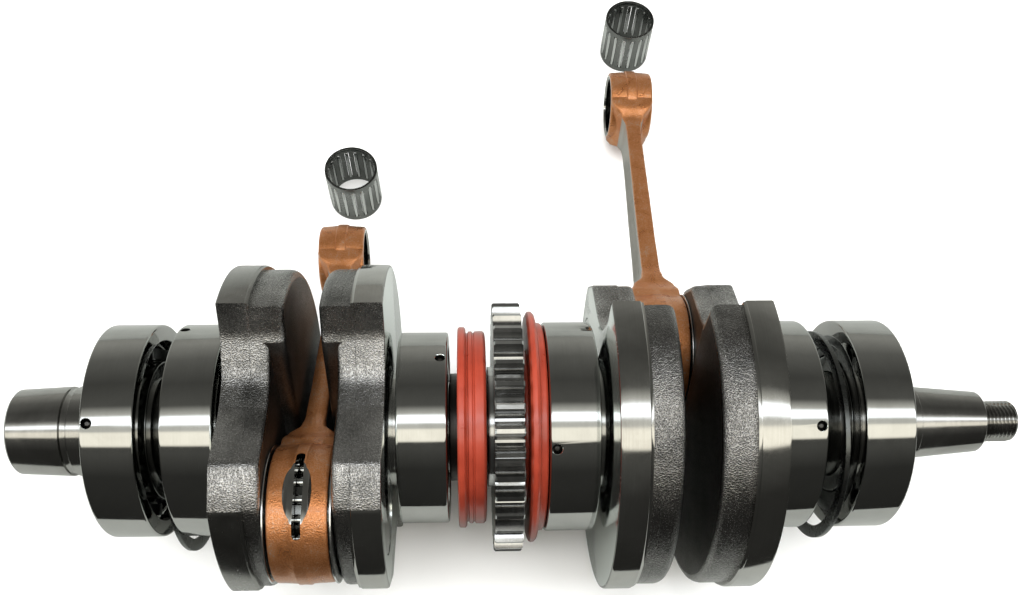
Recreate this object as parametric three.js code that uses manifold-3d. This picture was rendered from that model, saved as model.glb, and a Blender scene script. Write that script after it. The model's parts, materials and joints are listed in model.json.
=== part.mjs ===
// Built-up twin-cylinder two-stroke crankshaft, millimetres, +Z up.
// The crank axis is the X axis: the power take-off (PTO) end points to -X, the magneto (MAG) end
// to +X, and the origin is the centre of the MAG stud's end face. The shaft lies on its webs.
import * as THREE from 'three';
import { mergeVertices } from 'three/addons/utils/BufferGeometryUtils.js';
import Module from 'manifold-3d';

const wasm = await Module();
wasm.setup();

// ---------------------------------------------------------------- driving dimensions
const STROKE_RADIUS = 41;            // crank throw, so a stroke of 82
const PIN_ANGLE = 157;               // left crankpin, degrees from +Y towards +Z
const LEFT_CYL = -269.4;             // mid plane of the left cylinder
const RIGHT_CYL = -135;              // mid plane of the right cylinder
const TABLE_Z = -62;                 // the surface that the webs and rods lie on

const WEB_R = 62;                    // machined band of a web
const FORGED_R = 60.6;               // forged band of a web
const WEB_OUT = 28.2;                // from a cylinder's mid plane to the web's outer face
const WEB_SPLIT = 18.0;              // ... to the step from machined to forged band
const WEB_PIN_FACE = 11.6;           // ... to the inner face beside the crankpin
const WEB_CW_FACE = 6.0;             // ... to the inner face of the counterweight
const CW_REACH = 8;                  // how far the counterweight's thick part passes the crank axis
const NOTCH_HALF = 34.3;             // half width of a web between its two side notches

const PIN_R = 15;
const PIN_BORE = 15.45;
const ROD_LENGTH = 150;
const ROD_BIG_R = 24.8;
const ROD_BIG_BORE = 19.3;
const ROD_SMALL_R = 16.8;
const ROD_SMALL_BORE = 13.2;
const ROD_HALF = 10.1;               // half width of both rod ends
const WASHER_NEAR = 10.85;           // thrust washer faces, from the cylinder's mid plane
const WASHER_FAR = 11.4;
const SHANK_HALF = 3.6;              // half thickness of the shank's flanges
const SHANK_WEB_HALF = 1.8;          // half thickness between the flanges
const RIGHT_ROD_LIFT = 2.9;          // the right small end stands this far above the surface
const RIGHT_ROD_ROCK = 1.0;          // degrees it rocks sideways in its side clearance
const RIGHT_ROD_SHIFT = 0.2;

const SEAT_R = 20;                   // shaft under the wide bearings
const CENTRE_R = 17.5;               // shaft under the narrow bearing, seal sleeve and gear
const SPIGOT_R = 12.5;               // where the two inner webs are pressed together

const BEARING = { bore: 20.45, outer: 40, width: 18, pitch: 30, ball: 5.2, inLand: 26.2, outLand: 34 };
const NARROW = { bore: 17.95, outer: 36.4, width: 18, pitch: 27.2, ball: 4.7, inLand: 23.4, outLand: 31 };
const DOWEL_R = 1.8;                 // locating-pin hole in an outer race
const DOWEL_INSET = 2.5;             // its centre from the race's edge

// bearings: name, first and last X, size, angle of the locating hole, side it lies on
const BEARINGS = [
  ['pto_outer', -344.6, BEARING, 106.6, -1],
  ['pto_inner', -318.1, BEARING, 44, -1],
  ['centre_left', -238.1, NARROW, 67, 1],
  ['centre_right', -184.3, BEARING, 122, -1],
  ['mag_inner', -104.5, BEARING, 111.7, 1],
  ['mag_outer', -73.1, BEARING, 222, 1],
];

const GEAR_TEETH = 36;
const GEAR_MODULE = 2.5;
const GEAR_PHASE = 2.2;              // degrees from +Y to the middle of a tooth
const GEAR_X = [-203.5, -193.1];
const SLEEVE_X = [-219.7, -205.9];
const SEAL_LEFT_X = -216.5;
const SEAL_RIGHT_X = -192.6;

const RING_OUT = 40;                 // loose rings between each outer pair of bearings
const RING_IN = 35.4;
const RING_THICK = 1.7;
const PTO_RING_X = -320.1;           // loose ring between the PTO bearings, hanging on the shaft
const PTO_RING_DROP = [-2.5, -13.5]; // its centre across and up from the crank axis
const MAG_RING_X = -81.1;
const MAG_RING_DROP = [-4.2, -0.5];

// ---------------------------------------------------------------- materials
function steel(colour, roughness, metalness = 0.95) {
  return () => new THREE.MeshStandardMaterial({ color: colour, roughness, metalness });
}
const groundSteel = steel(0xa9aaa6, 0.18);
const forgedSteel = steel(0x4b4945, 0.5);
const raceSteel = steel(0x9a9a96, 0.12);
const ballSteel = steel(0xc8cac8, 0.08);
const copper = steel(0xa8663a, 0.35);
const darkSteel = steel(0x35332f, 0.4);
const gearSteel = steel(0x8c8b87, 0.3);
const sealOrange = steel(0xb7402b, 0.38, 0.0);

// ---------------------------------------------------------------- small helpers
const rad = (deg) => (deg * Math.PI) / 180;
const onCircle = (r, deg) => [r * Math.cos(rad(deg)), r * Math.sin(rad(deg))];

// turns a shape drawn in Y and Z and pulled along its own Z into one pulled along X
const DRAWN_TO_X = new THREE.Matrix4().set(0, 0, 1, 0, 1, 0, 0, 0, 0, 1, 0, 0, 0, 0, 0, 1);

function toSolid(source) {
  let g = source.clone();
  g.deleteAttribute('uv');
  g.deleteAttribute('normal');
  g = mergeVertices(g, 1e-4);
  const at = g.attributes.position.array;
  const tri = [];
  for (let i = 0; i < g.index.count; i += 3) {
    const [a, b, c] = [g.index.getX(i), g.index.getX(i + 1), g.index.getX(i + 2)];
    if (a !== b && b !== c && c !== a) tri.push(a, b, c);
  }
  let volume = 0;
  for (let i = 0; i < tri.length; i += 3) {
    const [p, q, r] = [tri[i], tri[i + 1], tri[i + 2]].map(
      (k) => new THREE.Vector3(at[3 * k], at[3 * k + 1], at[3 * k + 2]),
    );
    volume += p.dot(q.cross(r));
  }
  if (volume < 0) {
    for (let i = 0; i < tri.length; i += 3) [tri[i], tri[i + 1]] = [tri[i + 1], tri[i]];
  }
  const mesh = new wasm.Mesh({
    numProp: 3,
    vertProperties: new Float32Array(at),
    triVerts: new Uint32Array(tri),
  });
  return new wasm.Manifold(mesh);
}

// a turned body about the X axis; profile is a list of [x, r], closed on the axis or on itself
function turned(profile, segments) {
  const points = profile.map(([x, r]) => new THREE.Vector2(r, x));
  const g = new THREE.LatheGeometry(points, segments);
  g.rotateZ(-Math.PI / 2);
  return toSolid(g);
}

function shaft(steps, segments = 26) {
  const first = steps[0];
  const last = steps[steps.length - 1];
  return turned([[first[0], 0], ...steps, [last[0], 0]], segments);
}

function collar(x0, x1, rIn, rOut, segments = 26) {
  return turned([[x0, rIn], [x1, rIn], [x1, rOut], [x0, rOut], [x0, rIn]], segments);
}

function rod(x0, x1, r, y, z, segments = 24) {
  return shaft([[x0, r], [x1, r]], segments).translate([0, y, z]);
}

// a flat outline in Y and Z, pulled from x0 to x1
function plate(points, x0, x1) {
  const shape = new THREE.Shape(points.map(([y, z]) => new THREE.Vector2(y, z)));
  const g = new THREE.ExtrudeGeometry(shape, { depth: x1 - x0, bevelEnabled: false });
  g.applyMatrix4(DRAWN_TO_X);
  return toSolid(g).translate([x0, 0, 0]);
}

function block(sx, sy, sz) {
  return toSolid(new THREE.BoxGeometry(sx, sy, sz));
}

const group = new THREE.Group();
group.name = 'crankshaft';

function addNode(name, solid, material) {
  const out = solid.getMesh();
  const g = new THREE.BufferGeometry();
  const count = out.vertProperties.length / out.numProp;
  const at = new Float32Array(count * 3);
  for (let i = 0; i < count; i += 1) {
    for (let k = 0; k < 3; k += 1) at[3 * i + k] = out.vertProperties[i * out.numProp + k];
  }
  g.setAttribute('position', new THREE.BufferAttribute(at, 3));
  g.setIndex(new THREE.BufferAttribute(new Uint32Array(out.triVerts), 1));
  g.computeVertexNormals();
  const mesh = new THREE.Mesh(g, material());
  mesh.name = name;
  group.add(mesh);
}

// ---------------------------------------------------------------- crank webs
// half outline of a web in [along the pin direction, across it]: pin side first
const PIN_SIDE_EDGE = [[57.8, 22.4], [46.2, 32.2], [40, NOTCH_HALF], [24, NOTCH_HALF]];
const NOTCH_EDGE = [[15.5, 36.5], [8.5, 42], [3.6, 50.5]];
const CORNER_HALF = 21.2;            // degrees either side of the pin that the pin-side rim spans

function webOutline(rim) {
  const half = [];
  for (let a = 0; a < CORNER_HALF; a += 7.0) half.push(onCircle(rim, a));
  half.push(...PIN_SIDE_EDGE, ...NOTCH_EDGE);
  for (let a = 90; a < 179; a += 9) half.push(onCircle(rim, a));
  half.push([-rim, 0]);
  const mirrored = half.slice(1, -1).reverse().map(([p, q]) => [p, -q]);
  return [...half, ...mirrored];
}

function turnedOutline(points, deg) {
  const [c, s] = onCircle(1, deg);
  return points.map(([p, q]) => [p * c - q * s, p * s + q * c]);
}

// side is -1 for the web left of its cylinder's mid plane and +1 for the one right of it
function webSolid(mid, side, pinAngle) {
  const span = (from, to) => (side < 0 ? [mid - from, mid - to] : [mid + to, mid + from]);
  const machined = plate(turnedOutline(webOutline(WEB_R), pinAngle), ...span(WEB_OUT, WEB_SPLIT));
  const forged = turnedOutline(webOutline(FORGED_R), pinAngle);
  const thin = plate(forged, ...span(WEB_SPLIT + 0.01, WEB_PIN_FACE));
  const heavy = plate(forged, ...span(WEB_PIN_FACE + 0.01, WEB_CW_FACE));
  const keepOut = plate(
    turnedOutline([[70, -70], [70, 70], [CW_REACH, 70], [CW_REACH, -70]], pinAngle),
    mid - 30,
    mid + 30,
  );
  const [py, pz] = onCircle(STROKE_RADIUS, pinAngle);
  const bore = rod(mid - 30, mid + 30, PIN_BORE, py, pz);
  return machined.add(thin).add(heavy.subtract(keepOut)).subtract(bore);
}

const LEFT_PIN = PIN_ANGLE;
const RIGHT_PIN = PIN_ANGLE + 180;

// PTO half: cone with a threaded hole, groove, journal, bearing seat, web
const PTO_END = -381;
const ptoShaft = shaft([
  [PTO_END, 15.3], [PTO_END + 0.7, 16.04], [-361, 17], [-360.8, 16.1], [-358.6, 16.1],
  [-358.4, 17], [-345.2, 17], [-344.9, SEAT_R], [-299.8, SEAT_R], [-299.8, 23.5], [-296, 23.5],
]);
const ptoHole = shaft([[PTO_END - 1, 6.6], [PTO_END + 22, 6.6], [PTO_END + 25, 0.4]], 20);
addNode(
  'pto_half_shaft',
  ptoShaft.add(webSolid(LEFT_CYL, -1, LEFT_PIN)).subtract(ptoHole),
  forgedSteel,
);

// MAG half: web, bearing seat, shoulder, cone, stud
const magShaft = shaft([
  [-108, 23.5], [-104.8, 23.5], [-104.8, SEAT_R], [-54.6, SEAT_R], [-54.6, 17.5], [-47, 17.5],
  [-47, 15.2], [-40.8, 15.2], [-40.6, 14], [-14.6, 11.8], [-14.2, 8], [-1, 8], [0, 7.2],
]);
addNode('mag_half_shaft', magShaft.add(webSolid(RIGHT_CYL, 1, RIGHT_PIN)), forgedSteel);

// inner webs: the left one carries the centre shaft, the right one the sleeve it presses into
const leftInnerOut = LEFT_CYL + WEB_OUT;
const rightInnerOut = RIGHT_CYL - WEB_OUT;
const keyAngle = 78;
const [keyY, keyZ] = onCircle(CENTRE_R, keyAngle);
const keyMid = (GEAR_X[0] + GEAR_X[1]) / 2;
const placeKey = (solid) => solid.rotate([keyAngle, 0, 0]).translate([keyMid, keyY, keyZ]);

const centreShaft = shaft([
  [leftInnerOut - 2, 22], [-238.4, 22], [-238.4, CENTRE_R], [-192.9, CENTRE_R],
  [-192.9, SPIGOT_R], [-156, SPIGOT_R],
]);
addNode(
  'left_inner_web',
  centreShaft.add(webSolid(LEFT_CYL, 1, LEFT_PIN)).subtract(placeKey(block(9.6, 6.6, 5.6))),
  forgedSteel,
);

const spigotBore = shaft([[-200, SPIGOT_R + 0.4], [-155.5, SPIGOT_R + 0.4]], 28);
const innerStub = shaft([
  [-192.5, SEAT_R], [-166, SEAT_R], [-166, 24.5], [rightInnerOut + 2, 24.5],
]);
addNode(
  'right_inner_web',
  innerStub.add(webSolid(RIGHT_CYL, -1, RIGHT_PIN)).subtract(spigotBore),
  forgedSteel,
);

// ---------------------------------------------------------------- crankpins and thrust washers
for (const [side, mid, angle] of [['left', LEFT_CYL, LEFT_PIN], ['right', RIGHT_CYL, RIGHT_PIN]]) {
  const [y, z] = onCircle(STROKE_RADIUS, angle);
  addNode(`${side}_crankpin`, rod(mid - 28, mid + 28, PIN_R, y, z), groundSteel);
  for (const [where, s] of [['outer', side === 'left' ? -1 : 1], ['inner', side === 'left' ? 1 : -1]]) {
    const near = mid + s * WASHER_NEAR;
    const far = mid + s * WASHER_FAR;
    const washer = collar(Math.min(near, far), Math.max(near, far), 15.5, 24.5, 22);
    addNode(`${side}_${where}_thrust_washer`, washer.translate([0, y, z]), groundSteel);
  }
}

// ---------------------------------------------------------------- connecting rods
// drawn with the big end on the origin and the small end along +Y, then swung and moved
const SHANK = [[18, 15], [32, 12.2], [46, 10.6], [126, 9.2], [139, 12]];
const POCKET = [[33, 8.2], [46, 7.2], [118, 5.8], [128, 6.2]];
const SLOT_ANGLE = 112;              // lubrication slots, degrees either side of the shank
const bothSides = (edge) => [...edge, ...edge.slice().reverse().map(([a, b]) => [a, -b])];

function conrod(swing) {
  let body = rod(-ROD_HALF, ROD_HALF, ROD_BIG_R, 0, 0, 28);
  body = body.add(rod(-ROD_HALF, ROD_HALF, ROD_SMALL_R, ROD_LENGTH, 0, 24));
  body = body.add(plate(bothSides(SHANK), -SHANK_HALF, SHANK_HALF));
  for (const s of [-1, 1]) {
    const pocket = plate(bothSides(POCKET), 0, 6).translate([s > 0 ? SHANK_WEB_HALF : -SHANK_WEB_HALF - 6, 0, 0]);
    body = body.subtract(pocket);
  }
  body = body.subtract(rod(-20, 20, ROD_BIG_BORE, 0, 0, 24));
  body = body.subtract(rod(-20, 20, ROD_SMALL_BORE, ROD_LENGTH, 0, 20));
  for (const s of [-1, 1]) {
    // lubrication slot with its milled, lens-shaped window, one on each side of the shank
    const lean = s * SLOT_ANGLE - 90;
    const slot = block(3, 30, 14).translate([0, 0, 24]).rotate([lean, 0, 0]);
    const window = toSolid(new THREE.CylinderGeometry(5.8, 5.8, 40, 20))
      .translate([0, 0, ROD_BIG_R + 4.1])
      .rotate([lean, 0, 0]);
    body = body.subtract(slot).subtract(window);
  }
  return body.rotate([swing, 0, 0]);
}

function rodSwing(pinAngle, lift) {
  const pinHeight = STROKE_RADIUS * Math.sin(rad(pinAngle));
  const drop = pinHeight - (TABLE_Z + ROD_SMALL_R + lift);
  return -(Math.asin(drop / ROD_LENGTH) * 180) / Math.PI;
}

const leftRod = conrod(rodSwing(LEFT_PIN, 0));
addNode('left_conrod', leftRod.translate([LEFT_CYL, ...onCircle(STROKE_RADIUS, LEFT_PIN)]), copper);
const rightRod = conrod(rodSwing(RIGHT_PIN, RIGHT_ROD_LIFT)).rotate([0, 0, -RIGHT_ROD_ROCK]);
addNode(
  'right_conrod',
  rightRod.translate([RIGHT_CYL + RIGHT_ROD_SHIFT, ...onCircle(STROKE_RADIUS, RIGHT_PIN)]),
  copper,
);

// ---------------------------------------------------------------- needle roller cages
function needleCage(half, rIn, rOut, pitch, needleR, needles, needleHalf) {
  let body = collar(-half, half, rIn, rOut, needles * 2);
  for (let i = 0; i < needles; i += 1) {
    const [y, z] = onCircle(pitch, (360 / needles) * (i + 0.5));
    body = body.add(rod(-needleHalf, needleHalf, needleR, y, z, 6));
  }
  return body;
}

for (const [side, mid, angle] of [['left', LEFT_CYL, LEFT_PIN], ['right', RIGHT_CYL, RIGHT_PIN]]) {
  const [y, z] = onCircle(STROKE_RADIUS, angle);
  const cage = needleCage(9, 16.3, 17.8, 17.1, 1.6, 10, 7);
  addNode(`${side}_big_end_needle_cage`, cage.translate([mid, y, z]), darkSteel);
}

// small-end cages, standing on end beside the small ends
const CAGE_HALF = 12.5;
for (const [side, x, y] of [['left', -267.5, 144.6], ['right', -128, 236.2]]) {
  const cage = needleCage(CAGE_HALF, 10.6, 12.4, 11.6, 1.3, 12, 9.6);
  const standing = cage.rotate([0, 90, 0]).translate([x, y, TABLE_Z + CAGE_HALF]);
  addNode(`${side}_small_end_needle_cage`, standing, darkSteel);
}

// ---------------------------------------------------------------- ball bearings
function innerRace(x0, b) {
  const x1 = x0 + b.width;
  const mid = (x0 + x1) / 2;
  const groove = b.pitch - b.ball - 0.45;
  return turned([
    [x0, b.bore], [x1, b.bore], [x1, b.inLand], [mid + 4.2, b.inLand],
    [mid, groove], [mid - 4.2, b.inLand], [x0, b.inLand], [x0, b.bore],
  ], 22);
}

function outerRace(x0, b, holeAngle, holeSide) {
  const x1 = x0 + b.width;
  const mid = (x0 + x1) / 2;
  const groove = b.pitch + b.ball + 1.15;
  const race = turned([
    [x0, b.outLand], [x0, b.outer], [x1, b.outer], [x1, b.outLand],
    [mid + 4.5, b.outLand], [mid, groove], [mid - 4.5, b.outLand], [x0, b.outLand],
  ], 30);
  const holeX = holeSide < 0 ? x0 + DOWEL_INSET : x1 - DOWEL_INSET;
  const hole = toSolid(new THREE.CylinderGeometry(DOWEL_R, DOWEL_R, 8, 7))
    .translate([0, b.outer + 2.2, 0])
    .rotate([holeAngle, 0, 0])
    .translate([holeX, 0, 0]);
  return race.subtract(hole);
}

// balls joined to the ribbon cage that spaces them
function ballCage(x0, b, balls = 8) {
  const mid = x0 + b.width / 2;
  let body = collar(mid - 2.6, mid + 2.6, b.pitch - 1.6, b.pitch + 1.6, balls * 2);
  for (let i = 0; i < balls; i += 1) {
    const [y, z] = onCircle(b.pitch, (360 / balls) * i);
    body = body.add(toSolid(new THREE.SphereGeometry(b.ball, 6, 4)).translate([mid, y, z]));
  }
  return body;
}

for (const [name, x0, size, holeAngle, holeSide] of BEARINGS) {
  addNode(`${name}_bearing_inner_race`, innerRace(x0, size), raceSteel);
  addNode(`${name}_bearing_outer_race`, outerRace(x0, size, holeAngle, holeSide), raceSteel);
  addNode(`${name}_bearing_balls_and_cage`, ballCage(x0, size), ballSteel);
}

// ---------------------------------------------------------------- centre gear, key, seal sleeve
const GEAR_OUT = (GEAR_MODULE * (GEAR_TEETH + 2)) / 2;
const GEAR_PITCH = (GEAR_MODULE * GEAR_TEETH) / 2;
const GEAR_ROOT = GEAR_PITCH - 1.25 * GEAR_MODULE;

function gearOutline() {
  const points = [];
  const step = 360 / GEAR_TEETH;
  for (let i = 0; i < GEAR_TEETH; i += 1) {
    const a = i * step + GEAR_PHASE;
    points.push(onCircle(GEAR_ROOT, a - 0.36 * step), onCircle(GEAR_OUT, a - 0.14 * step));
    points.push(onCircle(GEAR_OUT, a + 0.14 * step), onCircle(GEAR_ROOT, a + 0.36 * step));
  }
  return points;
}

const gearBore = shaft([[GEAR_X[0] - 5, 17.9], [GEAR_X[1] + 5, 17.9]]);
const gearBody = plate(gearOutline(), ...GEAR_X)
  .add(shaft([[GEAR_X[0] - 2, 23], [GEAR_X[0] + 1, 23]]));
addNode(
  'centre_gear',
  gearBody.subtract(gearBore).subtract(placeKey(block(14, 6.9, 5.6))),
  gearSteel,
);
addNode('gear_key', placeKey(block(9, 6, 5)), groundSteel);
addNode('seal_sleeve', collar(SLEEVE_X[0], SLEEVE_X[1], 17.9, 20.6), darkSteel);

// ---------------------------------------------------------------- centre seals
const leftSeal = turned([
  [0, 21.3], [0, 37.6], [0.6, 38.4], [2.6, 38.4], [3.2, 36], [4.2, 36], [4.6, 36.8],
  [9.8, 36.8], [10.4, 35.8], [10.4, 21.3], [0, 21.3],
], 28).translate([SEAL_LEFT_X, 0, 0]);
addNode('left_centre_seal', leftSeal, sealOrange);

const rightSeal = turned([
  [0, 20.8], [0, 29.6], [1.6, 29.6], [1.6, 43.3], [2.4, 44.2], [4.2, 44.2], [5, 43.4],
  [5.4, 39.7], [7.4, 39.7], [8, 38.8], [8, 20.8], [0, 20.8],
], 28).translate([SEAL_RIGHT_X, 0, 0]);
addNode('right_centre_seal', rightSeal, sealOrange);

// ---------------------------------------------------------------- loose retaining rings
for (const [side, x, drop] of [['pto', PTO_RING_X, PTO_RING_DROP], ['mag', MAG_RING_X, MAG_RING_DROP]]) {
  const ring = collar(x, x + RING_THICK, RING_IN, RING_OUT, 30);
  addNode(`${side}_retaining_ring`, ring.translate([0, ...drop]), darkSteel);
}

export default group;
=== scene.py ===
"""Looks for the built-up twin-cylinder crankshaft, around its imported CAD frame.

The crank axis is X (PTO end to -X, MAG end to +X), Z is up, and the rods point to +Y.
Shapes are drawn in millimetres and scaled to metres when their mesh is made.
"""

import json
import math

import bmesh
import bpy
from mathutils import Matrix, Vector


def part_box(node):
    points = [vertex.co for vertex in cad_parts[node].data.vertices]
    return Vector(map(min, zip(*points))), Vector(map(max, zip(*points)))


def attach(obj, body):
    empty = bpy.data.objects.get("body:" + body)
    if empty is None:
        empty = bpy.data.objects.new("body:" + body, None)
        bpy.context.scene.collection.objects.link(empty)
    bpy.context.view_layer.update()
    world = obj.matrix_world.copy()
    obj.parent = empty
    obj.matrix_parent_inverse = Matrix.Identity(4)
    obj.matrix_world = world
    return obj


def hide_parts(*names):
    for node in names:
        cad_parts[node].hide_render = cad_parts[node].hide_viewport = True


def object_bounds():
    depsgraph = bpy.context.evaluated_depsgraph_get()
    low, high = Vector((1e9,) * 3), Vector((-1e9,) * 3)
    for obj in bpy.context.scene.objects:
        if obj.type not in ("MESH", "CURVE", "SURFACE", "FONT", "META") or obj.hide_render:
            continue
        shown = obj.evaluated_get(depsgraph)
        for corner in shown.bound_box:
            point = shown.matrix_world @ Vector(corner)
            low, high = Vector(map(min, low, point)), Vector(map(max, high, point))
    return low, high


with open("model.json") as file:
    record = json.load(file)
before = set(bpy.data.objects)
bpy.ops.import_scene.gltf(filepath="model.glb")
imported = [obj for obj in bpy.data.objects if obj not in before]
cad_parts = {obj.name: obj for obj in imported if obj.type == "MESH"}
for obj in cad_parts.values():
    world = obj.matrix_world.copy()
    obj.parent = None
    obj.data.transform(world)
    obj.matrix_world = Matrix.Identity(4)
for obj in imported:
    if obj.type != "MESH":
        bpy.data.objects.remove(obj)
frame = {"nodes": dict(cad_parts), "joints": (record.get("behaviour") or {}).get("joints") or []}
CAD_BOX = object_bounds()

MM = 0.001
TAU = 2 * math.pi


# ---------------------------------------------------------------- sizes, from the frame
def node_span(node):
    """(lowest, highest) corner of a CAD node in millimetres."""
    low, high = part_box(node)
    return [c / MM for c in low], [c / MM for c in high]


def joint_point(name):
    """A joint's place in millimetres."""
    for joint in frame["joints"]:
        if joint["name"] == name:
            return [c / MM for c in joint["pos_m"]]
    raise ValueError(name)


LEFT_PIN = joint_point("left_rod_swing")
RIGHT_PIN = joint_point("right_rod_swing")
PIN_ANGLE = {
    "left": math.degrees(math.atan2(LEFT_PIN[2], LEFT_PIN[1])),
    "right": math.degrees(math.atan2(RIGHT_PIN[2], RIGHT_PIN[1])),
}
PIN = {"left": LEFT_PIN, "right": RIGHT_PIN}

WEB_R = 62.0
FORGED_R = 60.6
WEB_OUT = 28.2
WEB_SPLIT = 18.0
WEB_PIN_FACE = 11.6
WEB_CW_FACE = 6.0

PIN_R = 15.0
PIN_HALF = 28.1
ROD_LENGTH = 150.0
ROD_BIG_R = 24.8
ROD_BIG_BORE = 19.3
ROD_SMALL_R = 16.8
ROD_SMALL_BORE = 13.2
ROD_HALF = 10.1
RIGHT_ROD_LIFT = 2.9
RIGHT_ROD_ROCK = 1.0
RIGHT_ROD_SHIFT = 0.2
CW_REACH = 8.0
SEAT_R = 20.0
CENTRE_R = 17.5


# ---------------------------------------------------------------- node materials
def material(name, colour, metallic, roughness, **principled):
    mat = bpy.data.materials.new(name)
    mat.use_nodes = True
    tree = mat.node_tree
    bsdf = tree.nodes["Principled BSDF"]
    bsdf.inputs["Base Color"].default_value = (*colour, 1)
    bsdf.inputs["Metallic"].default_value = metallic
    bsdf.inputs["Roughness"].default_value = roughness
    for key, value in principled.items():
        bsdf.inputs[key.replace("_", " ")].default_value = value
    return mat


class Nodes:
    """Short calls for wiring one material's nodes."""

    def __init__(self, mat):
        self.tree = mat.node_tree
        self.bsdf = self.tree.nodes["Principled BSDF"]
        self.coords = self.add("ShaderNodeTexCoord").outputs["Object"]
        self.height = None

    def add(self, kind, **settings):
        node = self.tree.nodes.new(kind)
        for key, value in settings.items():
            setattr(node, key, value)
        return node

    def link(self, out, socket):
        self.tree.links.new(out, socket)

    def stretched(self, scale):
        """Object coordinates scaled along X, Y and Z, per metre."""
        mapping = self.add("ShaderNodeMapping")
        mapping.inputs["Scale"].default_value = scale
        self.link(self.coords, mapping.inputs["Vector"])
        return mapping.outputs["Vector"]

    def noise(self, scale, detail=4.0, rough=0.55, vector=None, distortion=0.0):
        node = self.add("ShaderNodeTexNoise")
        node.inputs["Scale"].default_value = scale
        node.inputs["Detail"].default_value = detail
        node.inputs["Roughness"].default_value = rough
        node.inputs["Distortion"].default_value = distortion
        self.link(vector or self.coords, node.inputs["Vector"])
        return node.outputs["Fac"]

    def cells(self, scale):
        node = self.add("ShaderNodeTexVoronoi", feature="F1")
        node.inputs["Scale"].default_value = scale
        self.link(self.coords, node.inputs["Vector"])
        return node.outputs["Distance"]

    def band(self, fac, low, high, out_low=0.0, out_high=1.0):
        node = self.add("ShaderNodeMapRange")
        node.inputs["From Min"].default_value = low
        node.inputs["From Max"].default_value = high
        node.inputs["To Min"].default_value = out_low
        node.inputs["To Max"].default_value = out_high
        self.link(fac, node.inputs["Value"])
        return node.outputs["Result"]

    def math(self, operation, a, b):
        node = self.add("ShaderNodeMath", operation=operation)
        for socket, value in zip(node.inputs, (a, b)):
            if isinstance(value, (int, float)):
                socket.default_value = value
            else:
                self.link(value, socket)
        return node.outputs["Value"]

    def ramp(self, fac, stops):
        node = self.add("ShaderNodeValToRGB")
        ramp = node.color_ramp
        while len(ramp.elements) < len(stops):
            ramp.elements.new(0.5)
        for element, (place, colour) in zip(ramp.elements, stops):
            element.position = place
            element.color = (*colour, 1)
        self.link(fac, node.inputs["Fac"])
        return node.outputs["Color"]

    def colour(self, socket):
        self.link(socket, self.bsdf.inputs["Base Color"])

    def roughness(self, socket):
        self.link(socket, self.bsdf.inputs["Roughness"])

    def bump(self, height, distance, strength=1.0):
        node = self.add("ShaderNodeBump")
        node.inputs["Distance"].default_value = distance
        node.inputs["Strength"].default_value = strength
        self.link(height, node.inputs["Height"])
        if self.height is not None:
            self.link(self.height, node.inputs["Normal"])
        self.height = node.outputs["Normal"]
        self.link(self.height, self.bsdf.inputs["Normal"])


def turned_steel(name, dark, light, low, high, groove=0.000004, smudge=60.0):
    """Metal turned or ground about the X axis: grooves run round, with oily smudges."""
    mat = material(name, light, 1.0, low)
    n = Nodes(mat)
    tool_marks = n.noise(1.0, 3.0, 0.7, n.stretched((5200, 30, 30)))
    smears = n.noise(smudge, 5.0, 0.6, distortion=0.6)
    specks = n.noise(900, 2.0, 0.5)
    tone = n.math("ADD", n.math("MULTIPLY", smears, 0.7), n.math("MULTIPLY", tool_marks, 0.3))
    n.colour(n.ramp(tone, [(0.3, dark), (0.7, light)]))
    wear = n.math("ADD", smears, n.math("MULTIPLY", specks, 0.4))
    n.roughness(n.band(wear, 0.45, 0.95, low, high))
    n.bump(tool_marks, groove)
    return mat


def forged_steel(name, dark, light, grain=0.00022, low=0.3, high=0.55):
    """Shot-blasted forging: a coarse grain whose facets glint."""
    mat = material(name, light, 1.0, low)
    n = Nodes(mat)
    coarse = n.cells(2100)
    fine = n.noise(3600, 2.0, 0.6)
    patches = n.noise(60, 4.0, 0.6)
    tone = n.math("ADD", n.math("MULTIPLY", patches, 0.7), n.math("MULTIPLY", coarse, 0.4))
    n.colour(n.ramp(tone, [(0.35, dark), (0.72, light)]))
    n.roughness(n.band(fine, 0.35, 0.7, low, high))
    n.bump(n.math("ADD", coarse, n.math("MULTIPLY", fine, 0.5)), grain)
    return mat


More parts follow.
